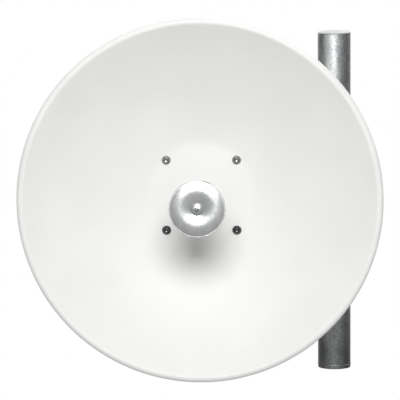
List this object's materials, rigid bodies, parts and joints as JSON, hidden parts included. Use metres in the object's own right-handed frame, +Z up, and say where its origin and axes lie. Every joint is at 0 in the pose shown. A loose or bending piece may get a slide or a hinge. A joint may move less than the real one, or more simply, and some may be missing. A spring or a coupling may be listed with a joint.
{
  "type": "parabolic dish antenna",
  "caption": "Round white parabolic dish with a centre feed tube and disc sub-reflector, bolted to an offset tilt arm that clamps on a short round pole.",
  "frame": {"origin": "centre of the flat underside of the disc that closes the pole's lower end", "axes": "+Z up along the pole's axis, -Y the way the dish looks, +X to the right of a viewer who faces the dish"},
  "size_m": [0.65, 0.4211, 0.663],
  "materials": {
    "white_paint": "white powder coat, semi-gloss",
    "spun_aluminium": "spun, satin",
    "cast_aluminium": "die-cast, matt",
    "galvanised_steel": "hot-dip galvanised",
    "plated_fastener": "bright zinc plated",
    "nickel_plate": "nickel plated",
    "white_plastic": "moulded, satin",
    "grey_plastic": "moulded, satin"
  },
  "bodies": {
    "root": {"reflector": "white_paint", "hub_plate": "galvanised_steel", "dish_bolt_1": "plated_fastener", "dish_bolt_2": "plated_fastener", "dish_bolt_3": "plated_fastener", "dish_bolt_4": "plated_fastener", "dish_nut_1": "plated_fastener", "dish_nut_2": "plated_fastener", "dish_nut_3": "plated_fastener", "dish_nut_4": "plated_fastener", "subreflector": "spun_aluminium", "subreflector_screw": "plated_fastener", "feed_cone": "white_plastic", "feed_tube": "cast_aluminium", "feed_flange": "cast_aluminium", "feed_body": "cast_aluminium", "feed_end_cap": "cast_aluminium", "port_vertical": "nickel_plate", "port_horizontal": "nickel_plate", "tilt_ear": "galvanised_steel", "ear_gusset_upper": "galvanised_steel", "ear_gusset_lower": "galvanised_steel", "offset_arm": "galvanised_steel", "pivot_bolt": "plated_fastener", "pivot_nut": "plated_fastener", "tilt_bolt": "plated_fastener", "tilt_nut": "plated_fastener", "clamp_front_upper": "galvanised_steel", "clamp_rear_upper": "galvanised_steel", "clamp_front_lower": "galvanised_steel", "clamp_rear_lower": "galvanised_steel", "clamp_bolt_1": "plated_fastener", "clamp_bolt_2": "plated_fastener", "clamp_bolt_3": "plated_fastener", "clamp_bolt_4": "plated_fastener", "clamp_nut_1": "plated_fastener", "clamp_nut_2": "plated_fastener", "clamp_nut_3": "plated_fastener", "clamp_nut_4": "plated_fastener", "pole": "galvanised_steel", "pole_foot": "galvanised_steel", "pole_cap": "grey_plastic"}
  },
  "joints": []
}
